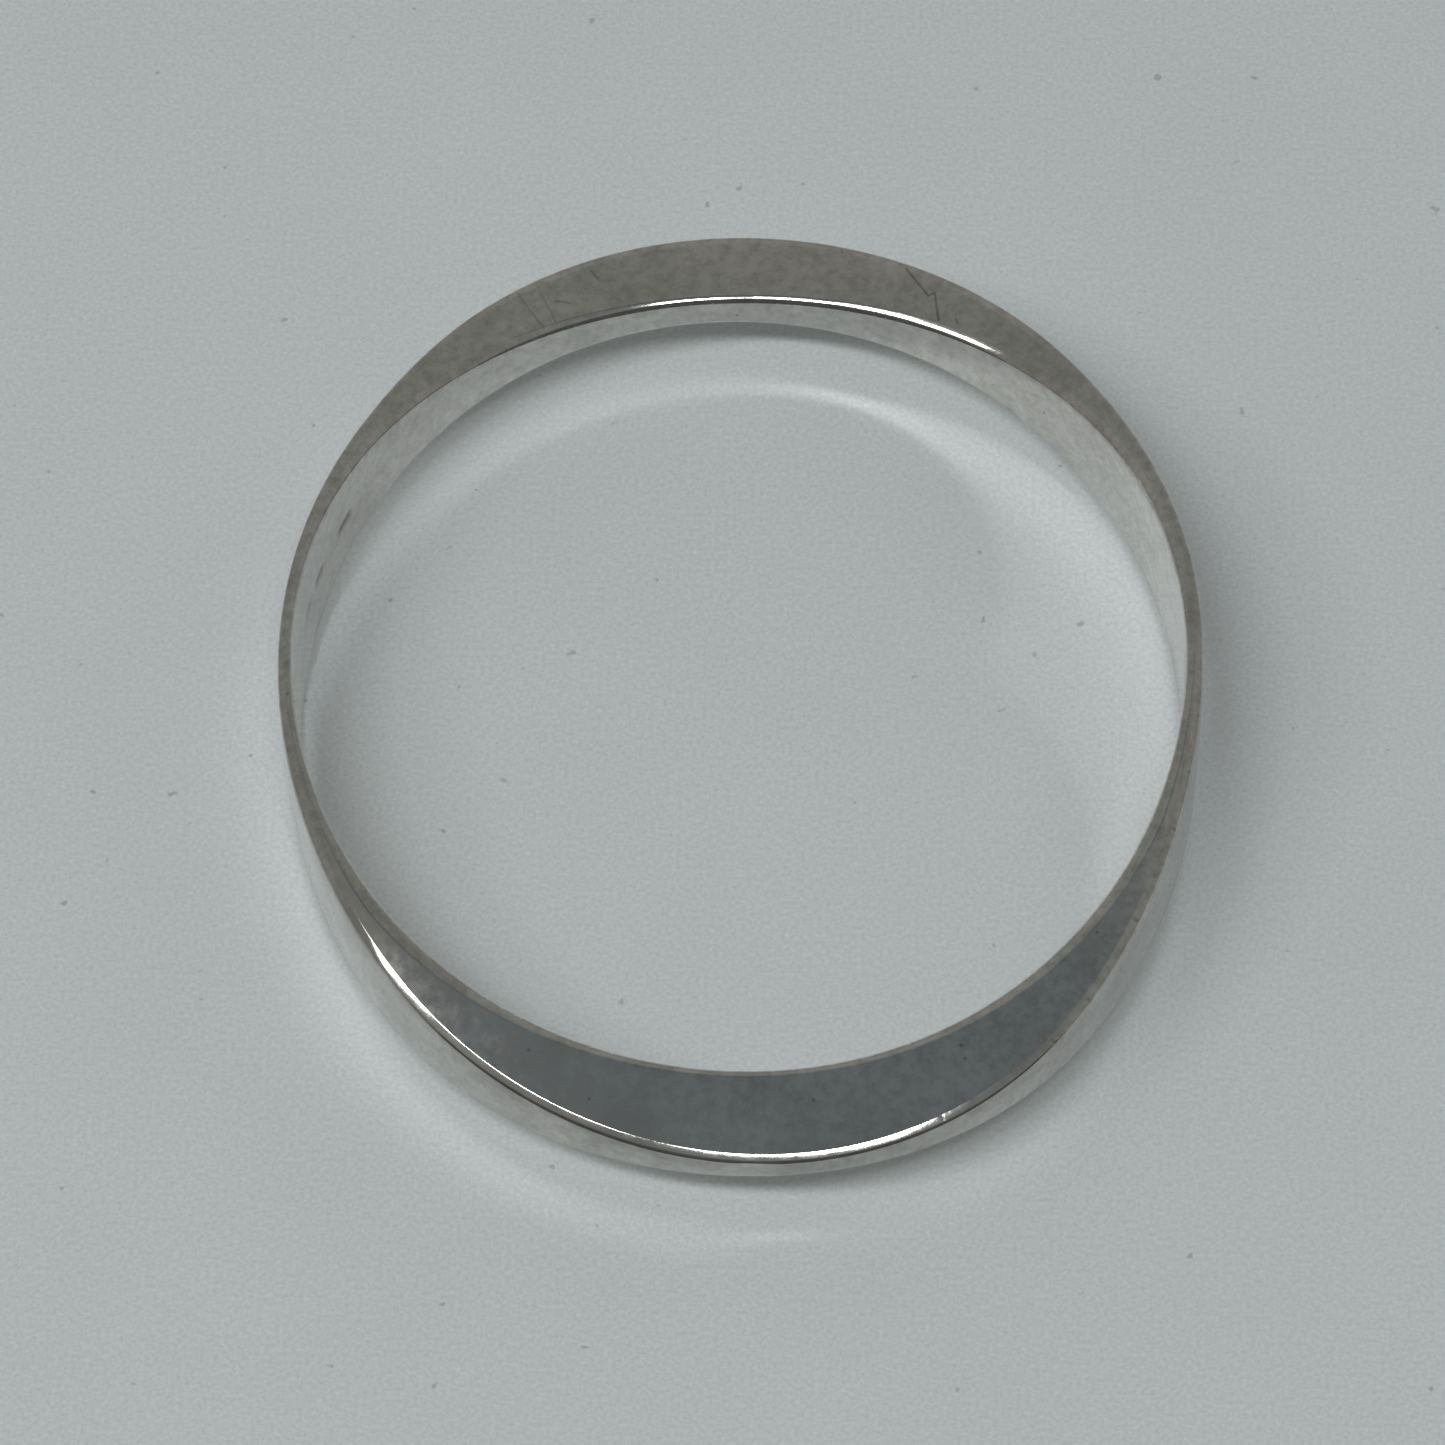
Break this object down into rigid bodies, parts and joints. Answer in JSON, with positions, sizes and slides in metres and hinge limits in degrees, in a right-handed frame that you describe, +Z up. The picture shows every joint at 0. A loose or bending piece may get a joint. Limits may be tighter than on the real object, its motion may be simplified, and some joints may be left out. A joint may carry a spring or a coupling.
{
  "type": "bangle bracelet",
  "caption": "Closed rigid bangle with a round wrist opening, thin tall sides and broad low flanges at the front and back.",
  "frame": {"origin": "on the surface it stands on, under the centre of the wrist opening", "axes": "+Z up along the wrist opening's axis, Y through the broad front (-Y) and back (+Y), X through the thin sides"},
  "size_m": [0.0662, 0.0768, 0.0134],
  "materials": {
    "silver": "worn, lightly tarnished satin polish"
  },
  "bodies": {
    "root": {"band": "silver"}
  },
  "joints": []
}
